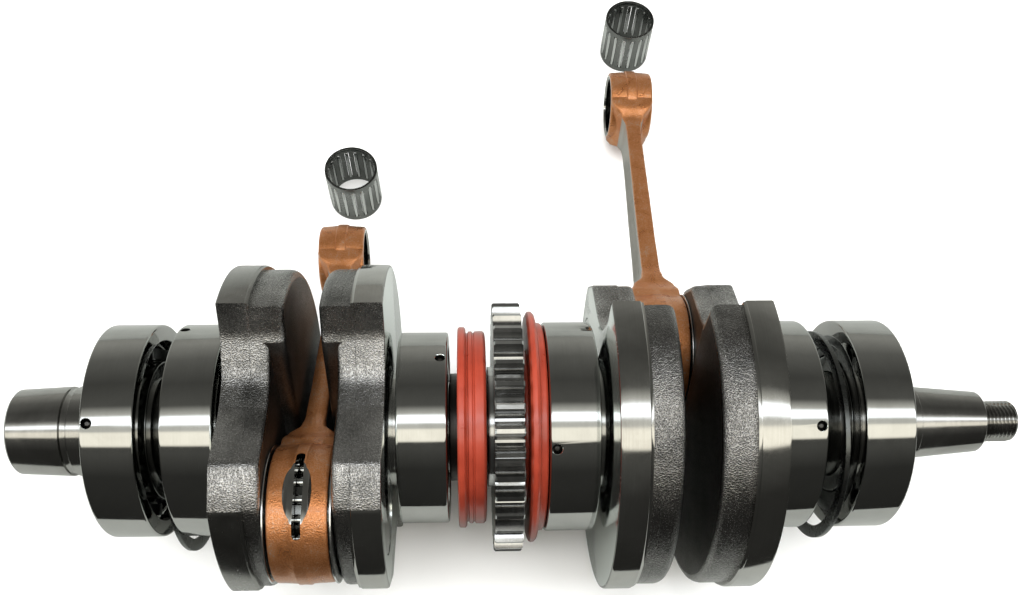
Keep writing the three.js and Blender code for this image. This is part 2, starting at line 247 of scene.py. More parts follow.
MAT = {
    "rim": turned_steel("turned_rim", (0.36, 0.355, 0.335), (0.50, 0.495, 0.475), 0.05, 0.13),
    "dark_rim": turned_steel("dark_turned_rim", (0.20, 0.195, 0.185), (0.33, 0.325, 0.31),
                             0.16, 0.30, smudge=90),
    "forged_rim": forged_steel("forged_rim", (0.10, 0.098, 0.094), (0.38, 0.37, 0.36), 0.00015, 0.16, 0.28),
    "forged": forged_steel("forged_notch", (0.08, 0.079, 0.075), (0.56, 0.55, 0.54), 0.00012, 0.17, 0.32),
    "forged_front": forged_steel("forged_inner_face", (0.06, 0.058, 0.055), (0.16, 0.155, 0.15),
                                 grain=0.00008),
    "ground": turned_steel("ground_face", (0.84, 0.88, 0.86), (0.93, 0.97, 0.95),
                           0.07, 0.2, groove=0.0000015),
    "race": turned_steel("bearing_race", (0.38, 0.38, 0.365), (0.47, 0.47, 0.455),
                         0.035, 0.085, groove=0.0000008),
    # painted shade: the inner race is drawn far darker than the outer race of the same bearing steel, for the
    # shade inside the bearing
    "inner": turned_steel("inner_race", (0.11, 0.115, 0.11), (0.20, 0.205, 0.195),
                          0.12, 0.24, groove=0.0000014),
    "journal": turned_steel("journal", (0.30, 0.295, 0.28), (0.46, 0.455, 0.44), 0.09, 0.2),
    "rod_side": turned_steel("rod_side", (0.40, 0.385, 0.36), (0.58, 0.56, 0.53), 0.3, 0.45),
    "shield": turned_steel("bearing_shield", (0.07, 0.073, 0.07), (0.15, 0.155, 0.15), 0.16, 0.3),
    "pin": turned_steel("ground_pin", (0.50, 0.50, 0.49), (0.66, 0.66, 0.65), 0.06, 0.16),
    "washer": turned_steel("thrust_washer", (0.6, 0.6, 0.59), (0.8, 0.8, 0.79), 0.12, 0.28),
    # painted shade: the balls and the ribbon cage are darkened for the shade between the races
    "ball": turned_steel("ball", (0.26, 0.27, 0.26), (0.38, 0.39, 0.38), 0.05, 0.12, groove=0.0),
    "ribbon": turned_steel("ribbon_cage", (0.045, 0.048, 0.045), (0.10, 0.105, 0.10), 0.3, 0.5),
    "gear": turned_steel("gear_steel", (0.36, 0.36, 0.355), (0.58, 0.58, 0.575), 0.08, 0.2),
    # phosphated steel for the seal sleeve; it is also painted shade in holes: drilled and threaded hole
    # walls, and the plugs at the bottom of the locating holes, take it so the holes read dark
    "dark": turned_steel("phosphated_steel_and_painted_hole_shade", (0.05, 0.048, 0.045), (0.13, 0.125, 0.12), 0.28, 0.5),
    "ring": turned_steel("spring_ring", (0.075, 0.078, 0.075), (0.16, 0.165, 0.16), 0.2, 0.36),
    "cage": turned_steel("needle_cage_steel", (0.10, 0.105, 0.10), (0.26, 0.265, 0.255), 0.14, 0.32),
    "needle": turned_steel("needle", (0.5, 0.51, 0.5), (0.66, 0.67, 0.66), 0.05, 0.14),
}


def copper_plate():
    """Copper plate on a blasted forging, rubbed through to grey here and there."""
    mat = material("copper_plate", (0.55, 0.20, 0.07), 0.85, 0.3, Coat_Weight=0.4, Coat_Roughness=0.12)
    n = Nodes(mat)
    grain = n.cells(1900)
    fine = n.noise(2800, 3.0, 0.6)
    patches = n.noise(120, 5.0, 0.6, distortion=0.8)
    tone = n.math("ADD", n.math("MULTIPLY", patches, 0.75), n.math("MULTIPLY", grain, 0.35))
    shades = [(0.26, (0.26, 0.105, 0.045)), (0.46, (0.55, 0.205, 0.068)),
              (0.64, (0.64, 0.27, 0.11)), (0.82, (0.58, 0.38, 0.26))]
    n.colour(n.ramp(tone, shades))
    n.roughness(n.band(patches, 0.3, 0.7, 0.24, 0.4))
    n.bump(n.math("ADD", grain, n.math("MULTIPLY", fine, 0.6)), 0.0001)
    return mat


def seal_rubber():
    mat = material("seal_rubber", (0.38, 0.045, 0.022), 0.0, 0.32, Coat_Weight=0.3, Coat_Roughness=0.12)
    n = Nodes(mat)
    film = n.noise(90, 5.0, 0.6, distortion=0.4)
    lines = n.noise(1.0, 2.0, 0.6, n.stretched((3000, 25, 25)))
    tone = n.math("ADD", n.math("MULTIPLY", film, 0.7), n.math("MULTIPLY", lines, 0.3))
    n.colour(n.ramp(tone, [(0.25, (0.22, 0.024, 0.012)), (0.75, (0.42, 0.060, 0.030))]))
    n.roughness(n.band(film, 0.3, 0.7, 0.26, 0.42))
    n.bump(lines, 0.00001)
    return mat


MAT["copper"] = copper_plate()
MAT["seal"] = seal_rubber()


# ---------------------------------------------------------------- drawing helpers, in millimetres
def fillet(points, radius, steps=5, closed=True):
    """Rounds the corners of a polygon. radius is one number or one for each point."""
    out = []
    count = len(points)
    for i, p in enumerate(points):
        r = radius[i] if isinstance(radius, (list, tuple)) else radius
        if r <= 0 or (not closed and i in (0, count - 1)):
            out.append(tuple(p))
            continue
        a, b, c = Vector(points[i - 1]), Vector(p), Vector(points[(i + 1) % count])
        to_a, to_c = (a - b), (c - b)
        la, lc = to_a.length, to_c.length
        if la < 1e-6 or lc < 1e-6:
            out.append(tuple(p))
            continue
        to_a.normalize()
        to_c.normalize()
        angle = to_a.angle(to_c)
        if angle > math.pi - 0.02:
            out.append(tuple(p))
            continue
        cut = min(r / math.tan(angle / 2), la * 0.48, lc * 0.48)
        start, end = b + to_a * cut, b + to_c * cut
        for k in range(steps + 1):
            t = k / steps
            q = start * (1 - t) ** 2 + b * 2 * t * (1 - t) + end * t ** 2
            out.append(tuple(q))
    return out


def arc(r, a0, a1, step):
    """Points on a circle about the origin, from angle a0 to a1 in degrees."""
    n = max(1, round(abs(a1 - a0) / step))
    angles = [math.radians(a0 + (a1 - a0) * k / n) for k in range(n + 1)]
    return [(r * math.cos(a), r * math.sin(a)) for a in angles]


def turn(points, degrees):
    c, s = math.cos(math.radians(degrees)), math.sin(math.radians(degrees))
    return [(p * c - q * s, p * s + q * c) for p, q in points]


class Shape:
    """Vertices, faces and material numbers being gathered for one piece."""

    def __init__(self):
        self.verts, self.faces, self.mats = [], [], []

    def add(self, verts, faces, mat=0):
        base = len(self.verts)
        self.verts += [tuple(v) for v in verts]
        self.faces += [[base + i for i in f] for f in faces]
        self.mats += mat if isinstance(mat, list) else [mat] * len(faces)
        return self

    def lathe(self, profile, segments=96, centre=(0, 0), mats=None):
        """Turns a closed [x, r] profile about a line along X. Points at r 0 close on the axis."""
        on_axis = profile[0][1] < 1e-6
        rows, verts = [], []
        for x, r in profile:
            if r < 1e-6:
                rows.append([len(verts)])
                verts.append((x, centre[0], centre[1]))
            else:
                rows.append(list(range(len(verts), len(verts) + segments)))
                angles = [TAU * k / segments for k in range(segments)]
                verts += [(x, centre[0] + r * math.cos(a), centre[1] + r * math.sin(a)) for a in angles]
        faces, out = [], []
        pairs = len(rows) - 1 if on_axis else len(rows)
        for i in range(pairs):
            a, b = rows[i], rows[(i + 1) % len(rows)]
            m = mats[i] if mats else 0
            for k in range(segments):
                k2 = (k + 1) % segments
                if len(a) == 1 and len(b) == 1:
                    continue
                if len(a) == 1:
                    faces.append([a[0], b[k2], b[k]])
                elif len(b) == 1:
                    faces.append([a[k], a[k2], b[0]])
                else:
                    faces.append([a[k], a[k2], b[k2], b[k]])
                out.append(m)
        return self.add(verts, faces, out)

    def loft(self, rows, mats=None, caps=(0, 0)):
        """Skins closed loops of equal length. mats is a function of (row, column) or None."""
        verts, faces, out = [], [], []
        n = len(rows[0])
        for row in rows:
            verts += row
        for i in range(len(rows) - 1):
            for k in range(n):
                k2 = (k + 1) % n
                faces.append([i * n + k, i * n + k2, (i + 1) * n + k2, (i + 1) * n + k])
                out.append(mats(i, k) if mats else 0)
        faces.append(list(range(n - 1, -1, -1)))
        out.append(caps[0])
        faces.append([(len(rows) - 1) * n + k for k in range(n)])
        out.append(caps[1])
        return self.add(verts, faces, out)

    def moved(self, matrix):
        self.verts = [tuple(matrix @ Vector(v)) for v in self.verts]
        return self


def make(name, shape, materials, body, replaces=(), sharp=32, scale=MM):
    """Turns a Shape into a finished piece that rides on a body."""
    mesh = bpy.data.meshes.new(name)
    mesh.from_pydata([tuple(c * scale for c in v) for v in shape.verts], [], shape.faces)
    for m in materials:
        mesh.materials.append(MAT[m])
    mesh.polygons.foreach_set("material_index", shape.mats)
    bm = bmesh.new()
    bm.from_mesh(mesh)
    bmesh.ops.remove_doubles(bm, verts=bm.verts, dist=1e-7)
    bmesh.ops.recalc_face_normals(bm, faces=bm.faces)
    bm.to_mesh(mesh)
    bm.free()
    finish_mesh(mesh, sharp)
    piece = bpy.data.objects.new(name, mesh)
    bpy.context.scene.collection.objects.link(piece)
    if body:
        join_frame(piece, body, replaces)
    return piece


def finish_mesh(mesh, sharp):
    mesh.polygons.foreach_set("use_smooth", [True] * len(mesh.polygons))
    mesh.set_sharp_from_angle(angle=math.radians(sharp))
    mesh.update()


def join_frame(piece, body, replaces=()):
    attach(piece, body)
    if replaces:
        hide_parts(*([replaces] if isinstance(replaces, str) else replaces))


def carve(piece, tools, operation="DIFFERENCE", sharp=32):
    """Cuts, or joins, tools to a piece and keeps the result as its mesh."""
    for tool in tools:
        mod = piece.modifiers.new("cut", "BOOLEAN")
        mod.operation = operation
        mod.solver = "EXACT"
        mod.object = tool
        mod.material_mode = "TRANSFER"
    graph = bpy.context.evaluated_depsgraph_get()
    graph.update()
    mesh = bpy.data.meshes.new_from_object(piece.evaluated_get(graph))
    piece.modifiers.clear()
    piece.data = mesh
    finish_mesh(mesh, sharp)
    for tool in tools:
        bpy.data.objects.remove(tool)
    return piece


def tool(shape, material_name):
    return make("tool", shape, [material_name], None)


# ---------------------------------------------------------------- crank webs
PIN_CORNER = 21.2            # degrees each side of the pin that the pin-side rim spans
STEP_BULGE = 1.32            # how far the counterweight's step bows towards the pin
STEP_PARTS = 12


def web_outline(rim):
    """Outline of a web as [along the pin, across it], and a list saying which edges are rim."""
    half = arc(rim, 0, PIN_CORNER, 2.0)
    rim_a = len(half)
    corners = [half[-1], (46.0, 32.4), (24.0, 34.3), (12.0, 38.6), (3.4, 50.0), (0.0, rim)]
    notch = fillet(corners, [0, 5, 20, 14, 14, 0], 6, closed=False)[1:-1]
    half += notch
    rim_b = len(half)
    half += arc(rim, 90, 180, 2.5)
    edges = ["rim"] * (rim_a - 1) + ["notch"] * (rim_b - rim_a + 1) + ["rim"] * (len(half) - rim_b - 1)
    mirrored = [(p, -q) for p, q in half[1:-1][::-1]]
    return half + mirrored, edges + edges[::-1]


def inset(points, distance):
    """Moves each point of a counter-clockwise outline inwards."""
    out = []
    n = len(points)
    for i, p in enumerate(points):
        a, b, c = Vector(points[i - 1]), Vector(p), Vector(points[(i + 1) % n])
        t1, t2 = (b - a), (c - b)
        t1 = t1.normalized() if t1.length > 1e-9 else Vector((0, 0))
        t2 = t2.normalized() if t2.length > 1e-9 else Vector((0, 0))
        t = t1 + t2
        t = t.normalized() if t.length > 1e-9 else t1
        normal = Vector((-t.y, t.x))
        widen = 1 / max(0.5, math.cos(t1.angle(t2) / 2) if t1.length and t2.length else 1)
        out.append(tuple(b + normal * distance * widen))
    return out


def slab(shape, outline, stations, mats, caps):
    """Lofts an outline along X; stations are (x, inset) pairs."""
    rows = [[(x, y, z) for y, z in inset(outline, d)] for x, d in stations]
    return shape.loft(rows, mats, caps)


WEB_MATERIALS = ["rim", "forged_rim", "forged", "forged_front", "ground", "dark_rim"]
RIM, FORGED_RIM, FORGED, FORGED_FRONT, GROUND, DARK_RIM = range(6)


def web(name, mid, side, degrees, band):
    """One crank web as a piece without its body; side is -1 left of the rod and +1 right of it."""
    def at(from_mid):
        return mid + side * from_mid

    outline, edges = web_outline(WEB_R)
    machined = Shape()
    stations = [(WEB_OUT, 0.9), (WEB_OUT - 0.25, 0.3), (WEB_OUT - 0.9, 0.0), (WEB_SPLIT + 0.3, 0.0),
                (WEB_SPLIT, 0.3), (WEB_SPLIT - 0.8, 0.5)]
    slab(machined, turn(outline, degrees), [(at(x), d) for x, d in stations],
         lambda row, k: DARK_RIM if row == 0 else band if edges[k] == "rim" else FORGED, (GROUND, band))
    piece = make(name, machined, WEB_MATERIALS, None)

    outline, forged_edges = web_outline(FORGED_R)
    thin = Shape()
    stations = [(WEB_SPLIT + 1.0, 0.4), (WEB_PIN_FACE + 2.6, 0.2), (WEB_PIN_FACE + 1.2, 0.5),
                (WEB_PIN_FACE + 0.35, 1.3), (WEB_PIN_FACE, 2.4)]
    slab(thin, turn(outline, degrees), [(at(x), d) for x, d in stations],
         lambda row, k: FORGED_RIM if forged_edges[k] == "rim" else FORGED, (GROUND, FORGED_FRONT))
    thin_piece = tool_from(thin)

    # the counterweight stands further in, with a broad rounded shoulder towards the crankpin
    heavy_outline, heavy_edges = counterweight_outline()
    heavy = Shape()
    stations = [(WEB_PIN_FACE + 2.0, 0.2), (WEB_CW_FACE + 3.2, 0.2), (WEB_CW_FACE + 1.9, 0.45),
                (WEB_CW_FACE + 0.9, 1.0), (WEB_CW_FACE + 0.25, 1.9), (WEB_CW_FACE, 3.2)]
    skins = {"rim": FORGED_RIM, "step": FORGED_FRONT, "notch": FORGED}
    slab(heavy, turn(heavy_outline, degrees), [(at(x), d) for x, d in stations],
         lambda row, k: skins[heavy_edges[k]], (GROUND, FORGED_FRONT))
    heavy_piece = tool_from(heavy)
    carve(piece, [thin_piece, heavy_piece], "UNION")
    return piece


def counterweight_outline():
    """The web's outline as far as CW_REACH past the crank axis, closed by a step with round ends."""
    outline, edges = web_outline(FORGED_R)
    count = len(outline)
    kept = [i for i in range(count) if outline[i][0] < CW_REACH]
    first, last = kept[0], kept[-1]
    points = [outline[i] for i in range(first, last + 1)]
    kinds = [edges[i] for i in range(first, last)]
    across = points[0][1]
    bulge = []
    for k in range(1, STEP_PARTS):
        t = 1 - 2 * k / STEP_PARTS
        bulge.append((points[0][0] + STEP_BULGE * (1 - t * t) ** 0.5, -across * t))
    kinds += ["step"] * (len(bulge) + 1)
    return points + bulge, kinds


def tool_from(shape):
    return make("tool", shape, WEB_MATERIALS, None)


def shaft_shape(steps, segments=96, rounding=0.35):
    """A turned shaft from [x, r] steps with softly broken edges."""
    profile = [(steps[0][0], 0.0), *steps, (steps[-1][0], 0.0)]
    radii = [0.0] + [rounding] * len(steps) + [0.0]
    return Shape().lathe(fillet(profile, radii, 3, closed=False), segments)


def band_profile(x0, x1, r_in, r_out):
    """Profile of a plain ring about X."""
    return [(x0, r_in), (x0, r_out), (x1, r_out), (x1, r_in)]


LEFT_CYL = LEFT_PIN[0]
RIGHT_CYL = RIGHT_PIN[0]
PTO_END = node_span("pto_half_shaft")[0][0]


def disc(x0, x1, r):
    """Profile of a plain cylinder along X."""
    return [(x0, 0), (x0, r), (x1, r), (x1, 0)]


def pin_bore(side):
    x, y, z = PIN[side]
    return tool(Shape().lathe(disc(x - 40, x + 40, PIN_R + 0.12), 64, (y, z)), "ground")


def web_piece(name, side_name, side, node):
    mid = LEFT_CYL if side_name == "left" else RIGHT_CYL
    piece = web(name, mid, side, PIN_ANGLE[side_name], DARK_RIM if name == "web_pto" else RIM)
    carve(piece, [pin_bore(side_name)])
    join_frame(piece, "crank", node)
    return piece


web_piece("web_pto", "left", -1, "pto_half_shaft")
web_piece("web_left_inner", "left", 1, "left_inner_web")
web_piece("web_right_inner", "right", -1, "right_inner_web")
web_piece("web_mag", "right", 1, "mag_half_shaft")

# PTO shaft with its cone, groove and threaded hole
pto = make("pto_shaft", shaft_shape([
    (PTO_END, 15.1), (PTO_END + 0.9, 16.04), (-361.2, 16.98), (-360.9, 16.1), (-358.7, 16.1), (-358.4, 17),
    (-345.4, 17), (-344.9, SEAT_R), (-299.8, SEAT_R), (-299.8, 23.5), (-297.3, 23.5)]), ["journal"], None)


def thread_surface(shape, x0, x1, r_out, depth, pitch, segments=64, taper=(0.6, 1.4)):
    """A threaded cylinder whose ridge winds once a pitch; closed on the axis at both ends."""
    step = pitch / 10
    count = round((x1 - x0) / step)
    rows = [[(x0, 0, 0)]]
    for i in range(count + 1):
        x = x0 + (x1 - x0) * i / count
        fade = min(1.0, (x - x0) / taper[0], (x1 - x) / taper[1]) if 0 < i < count else 0.0
        row = []
        for k in range(segments):
            phase = (x / pitch - k / segments) % 1.0
            ridge = abs(phase * 2 - 1)
            ridge = min(1.0, max(0.0, (ridge - 0.12) / 0.76))
            r = r_out - depth + depth * ridge * max(0.0, fade)
            if i == count:
                r = r_out - depth - 0.2
            row.append((x, r * math.cos(TAU * k / segments), r * math.sin(TAU * k / segments)))
        rows.append(row)
    rows.append([(x1, 0, 0)])
    verts, faces = [], []
    index = []
    for row in rows:
        index.append(list(range(len(verts), len(verts) + len(row))))
        verts += row
    for a, b in zip(index, index[1:]):
        for k in range(segments):
            k2 = (k + 1) % segments
            if len(a) == 1:
                faces.append([a[0], b[k2], b[k]])
            elif len(b) == 1:
                faces.append([a[k], a[k2], b[0]])
            else:
                faces.append([a[k], a[k2], b[k2], b[k]])
    return shape.add(verts, faces)


hole = Shape()
thread_surface(hole, PTO_END + 1.2, PTO_END + 24, 6.6, 0.75, 1.5, 48, (0.8, 0.8))
mouth = Shape().lathe([(PTO_END - 1, 0), (PTO_END - 1, 8.4), (PTO_END + 1.8, 5.9), (PTO_END + 1.8, 0)], 64)
# painted shade: the threaded hole's walls are cut with the dark material so the hole reads dark
carve(pto, [tool(mouth, "journal"), tool(hole, "dark")])
join_frame(pto, "crank", "pto_half_shaft")

# MAG shaft: seat, shoulder, cone and threaded stud
mag_steps = [(-107.1, 23.5), (-104.8, 23.5), (-104.8, SEAT_R), (-54.6, SEAT_R), (-54.2, 17.5),
             (-47.2, 17.5), (-46.9, 15.2), (-41.4, 15.2), (-41.1, 13.6), (-40.4, 14.0),
             (-14.9, 11.8), (-14.3, 11.2), (-14.1, 7.3), (-12.6, 7.2)]
make("mag_shaft", shaft_shape(mag_steps), ["journal"], "crank", "mag_half_shaft")
stud = Shape()
thread_surface(stud, -13.6, 0.0, 8.0, 0.85, 1.5, 72, (0.8, 1.2))
make("mag_stud_thread", stud, ["journal"], "crank", "mag_half_shaft", sharp=50)

make("centre_shaft", shaft_shape([(-241.6, 22), (-238.4, 22), (-238.4, CENTRE_R), (-192.9, CENTRE_R)]),
     ["journal"], "crank", "left_inner_web")
make("inner_stub", shaft_shape([(-192.5, SEAT_R), (-166, SEAT_R), (-166, 24.5), (-162.9, 24.5)]),
     ["journal"], "crank", "right_inner_web")

# crankpins and thrust washers
for side in ("left", "right"):
    x, y, z = PIN[side]
    profile = fillet(disc(x - PIN_HALF, x + PIN_HALF, PIN_R), [0, 0.8, 0.8, 0], 3, False)
    make(f"{side}_crankpin_ground", Shape().lathe(profile, 72, (y, z)), ["pin"], "crank", f"{side}_crankpin")
    for where in ("outer", "inner"):
        node = f"{side}_{where}_thrust_washer"
        low, high = node_span(node)
        profile = fillet(band_profile(low[0], high[0], 15.5, 24.5), 0.15, 2)
        make(node + "_disc", Shape().lathe(profile, 96, (y, z)), ["washer"], "crank", node)


# ---------------------------------------------------------------- ball bearings
# size, angle of the locating hole and the side it lies on
BEARINGS = {
    "pto_outer": (0, 106.6, -1), "pto_inner": (0, 44, -1), "centre_left": (1, 67, 1),
    "centre_right": (0, 122, -1), "mag_inner": (0, 111.7, 1), "mag_outer": (0, 222, 1),
}
SIZES = [
    {"bore": 20.2, "outer": 40.0, "pitch": 30.0, "ball": 5.2, "in_land": 26.2, "out_land": 34.0, "balls": 9},
    {"bore": 17.7, "outer": 36.4, "pitch": 27.2, "ball": 4.7, "in_land": 23.4, "out_land": 31.0, "balls": 9},
]
DOWEL_R = 1.8                # locating hole in an outer race, and its centre from the race's edge
DOWEL_INSET = 2.5
GROOVE_PLAY = 0.35           # a groove's radius beyond the ball's


def grooved(x0, x1, flat, land, ball_pitch, groove_r, sign):
    """Profile of a race: flat is its plain side, land its ball side, with a round groove."""
    mid = (x0 + x1) / 2
    half = math.sqrt(max(0.0, groove_r ** 2 - (land - ball_pitch) ** 2))
    track = []
    for k in range(13):
        x = mid - half + 2 * half * k / 12
        track.append((x, ball_pitch + sign * math.sqrt(max(0.0, groove_r ** 2 - (x - mid) ** 2))))
    corners = [(x0, flat), (x0, land)] + track + [(x1, land), (x1, flat)]
    radii = [1.0, 0.5] + [0.0] * len(track) + [0.5, 1.0]
    return fillet(corners, radii, 5)


def ribbon_cage(mid, size, sign, segments=288):
    """One half of a pressed ribbon cage: a washer that bulges round each ball."""
    pitch, ball, balls = size["pitch"], size["ball"], size["balls"]
    shape = Shape()
    half, thick, clear = 2.1, 0.8, 0.35
    rows = []
    for k in range(segments):
        a = TAU * k / segments
        near = abs(((a * balls / TAU) + 0.5) % 1.0 - 0.5) * TAU / balls * pitch
        reach = ball + clear + thick
        bulge = math.sqrt(max(0.0, reach ** 2 - near ** 2)) if near < reach else 0.0
        outer = max(thick + 0.05, bulge)
        inner = outer - thick
        loop = []
        near_r, far_r = pitch - half, pitch + half
        for r, x in ((near_r, inner), (far_r, inner), (far_r, outer), (near_r, outer)):
            loop.append((mid + sign * x, r * math.cos(a), r * math.sin(a)))
        rows.append(loop)
    verts = [v for row in rows for v in row]
    faces = []
    for i in range(segments):
        j = (i + 1) % segments
        for k in range(4):
            k2 = (k + 1) % 4
            faces.append([i * 4 + k, i * 4 + k2, j * 4 + k2, j * 4 + k])
    return shape.add(verts, faces)


def sphere(shape, centre, r, rings=16, segments=28, mat=0):
    cx, cy, cz = centre
    angles = [math.pi * k / rings for k in range(rings + 1)]
    profile = [(cx - r * math.cos(a), r * math.sin(a)) for a in angles]
    profile[0] = (profile[0][0], 0.0)
    profile[-1] = (profile[-1][0], 0.0)
    part = Shape().lathe(profile, segments, (cy, cz))
    return shape.add(part.verts, part.faces, mat)


for name, (kind, hole_angle, hole_side) in BEARINGS.items():
    size = SIZES[kind]
    node = f"{name}_bearing_outer_race"
    low, high = node_span(node)
    x0, x1 = low[0], high[0]
    mid = (x0 + x1) / 2
    groove_r = size["ball"] + GROOVE_PLAY
    profile = grooved(x0, x1, size["outer"], size["out_land"], size["pitch"], groove_r, 1)
    race = make(f"{name}_outer_ring", Shape().lathe(profile, 160), ["race"], None)
    hole_x = x0 + DOWEL_INSET if hole_side < 0 else x1 - DOWEL_INSET
    outer = size["outer"]
    drill = Shape().lathe(disc(outer - 4.4, outer + 0.6, DOWEL_R), 32)
    profile = [(outer - 0.3, 0), (outer - 0.3, DOWEL_R - 0.1),
               (outer + 0.6, DOWEL_R + 0.75), (outer + 0.6, 0)]
    countersink = Shape().lathe(profile, 32)
    profile = [(outer - 4.3, 0), (outer - 4.3, 1.35), (outer - 1.5, 1.35),
               (outer - 1.1, 0.7), (outer - 1.1, 0)]
    plug = Shape().lathe(fillet(profile, [0, 0, 0.3, 0.3, 0], 3, False), 24)
    c, s = math.cos(math.radians(hole_angle)), math.sin(math.radians(hole_angle))
    for part in (drill, countersink, plug):
        part.verts = [(hole_x + y, x * c - z * s, x * s + z * c) for x, y, z in part.verts]
    # painted shade: the locating hole's walls are cut with the dark material so the hole reads dark
    carve(race, [tool(drill, "dark")])
    carve(race, [tool(countersink, "ground")])
    join_frame(race, f"{name}_outer_race", node)
    # painted shade: a dark plug set down at the bottom of the locating hole
    make(f"{name}_dowel", plug, ["dark"], f"{name}_outer_race", node)
    profile = grooved(x0, x1, size["bore"], size["in_land"], size["pitch"], groove_r, -1)
    make(f"{name}_inner_ring", Shape().lathe(profile, 128), ["inner"], "crank",
         f"{name}_bearing_inner_race")
    if name == "mag_outer":
        profile = [(x0 + 0.5, 27.0), (x0 + 0.5, 30.4), (x0 + 0.15, 31.0), (x0 + 0.15, 34.6),
                   (x0 + 1.1, 34.6), (x0 + 1.1, 27.0)]
        shield = Shape().lathe(fillet(profile, 0.15, 2), 128)
        make(f"{name}_shield", shield, ["shield"], f"{name}_outer_race", node)
    balls = Shape()
    for k in range(size["balls"]):
        a = TAU * k / size["balls"]
        sphere(balls, (mid, size["pitch"] * math.cos(a), size["pitch"] * math.sin(a)), size["ball"])
    cage_node = f"{name}_bearing_balls_and_cage"
    make(f"{name}_balls", balls, ["ball"], f"{name}_cage", cage_node)
    for sign, word in ((-1, "left"), (1, "right")):
        make(f"{name}_ribbon_{word}", ribbon_cage(mid, size, sign), ["ribbon"], f"{name}_cage", cage_node,
             sharp=40)


# ---------------------------------------------------------------- connecting rods
def smooth_value(a, table):
    """Reads a smooth curve through (place, value) pairs."""
    if a <= table[0][0]:
        return table[0][1]
    for (a0, v0), (a1, v1) in zip(table, table[1:]):
        if a <= a1:
            t = (a - a0) / (a1 - a0)
            t = t * t * (3 - 2 * t)
            return v0 + (v1 - v0) * t
    return table[-1][1]


# half width, half thickness and pocket depth of the shank at distances from the big end
SHANK_WIDTH = [(12, 18.6), (19, 16.6), (28, 13.4), (40, 11.2), (60, 10.2), (122, 9.0), (130, 9.8),
               (137, 12.6), (141, 13.5)]
SHANK_THICK = [(12, 9.9), (22.5, 9.9), (26, 8.6), (31, 4.6), (36, 3.9), (60, 3.75), (122, 3.4),
               (127, 3.6), (132, 5.2), (137, 9.0), (139, 9.9)]
POCKET_DEPTH = [(34, 0.0), (44, 1.9), (117, 1.9), (125, 0.0)]


# where the shank's sections stand: close together where it flares into each end
SHANK_STATIONS = [12, 15, 18, 21, 22.5, *range(24, 32), 32.5, *range(34, 45, 2), 48, 56, 66, 80, 95, 108, 114,
                  *range(117, 128, 2), *[127 + 1.5 * k for k in range(1, 9)], 141]


def shank_loop(a):
    """Cross-section of the shank at distance a from the big end: an I-beam with soft edges."""
    b = smooth_value(a, SHANK_WIDTH)
    t = smooth_value(a, SHANK_THICK)
    d = smooth_value(a, POCKET_DEPTH)
    flange = 3.0
    quarter = [(0.0, t - d), (b - flange - 1.8, t - d), (b - flange - 0.5, t - d * 0.45),
               (b - flange + 0.3, t - d * 0.04), (b - flange + 1.0, t), (b - 0.95, t),
               (b - 0.35, t - 0.25), (b, t - 0.9), (b + 0.15, 0.0)]
    top = quarter + [(y, -x) for y, x in quarter[:-1][::-1]]
    full = top + [(-y, x) for y, x in top[1:-1][::-1]]
    return [(x, a, y) for y, x in full]


ROD_MATERIALS = ["copper", "ground", "rim", "dark", "rod_side"]
SIDE = 4
SHANK_FLAT = (0, 1, 2, 3, 4, 11, 12, 13, 14, 15)      # edges of the section that face along the crank


def rod_end(r, half, crown, a, edge):
    """The drum of a rod end: crowned outside, edges rounded, flat machined sides."""
    profile = [(-half, 0.0), (-half, r - crown - edge)]
    for k in range(6):
        t = math.pi / 2 * k / 5
        profile.append((-half + edge * (1 - math.cos(t)), r - crown - edge + edge * math.sin(t)))
    profile += [(-half * 0.55, r - crown * 0.8), (-2.5, r - crown * 0.55),
                (-2.05, r - crown * 0.05), (-1.7, r)]
    profile += [(-x, y) for x, y in profile[::-1]]
    mats = [1] + [0] * (len(profile) - 3) + [1]
    return Shape().lathe(profile, 128, (a, 0), mats)


SLOT_OUTLINE = fillet([(-1.5, -15.2), (1.5, -15.2), (1.5, 15.2), (-1.5, 15.2)], 1.45, 6)


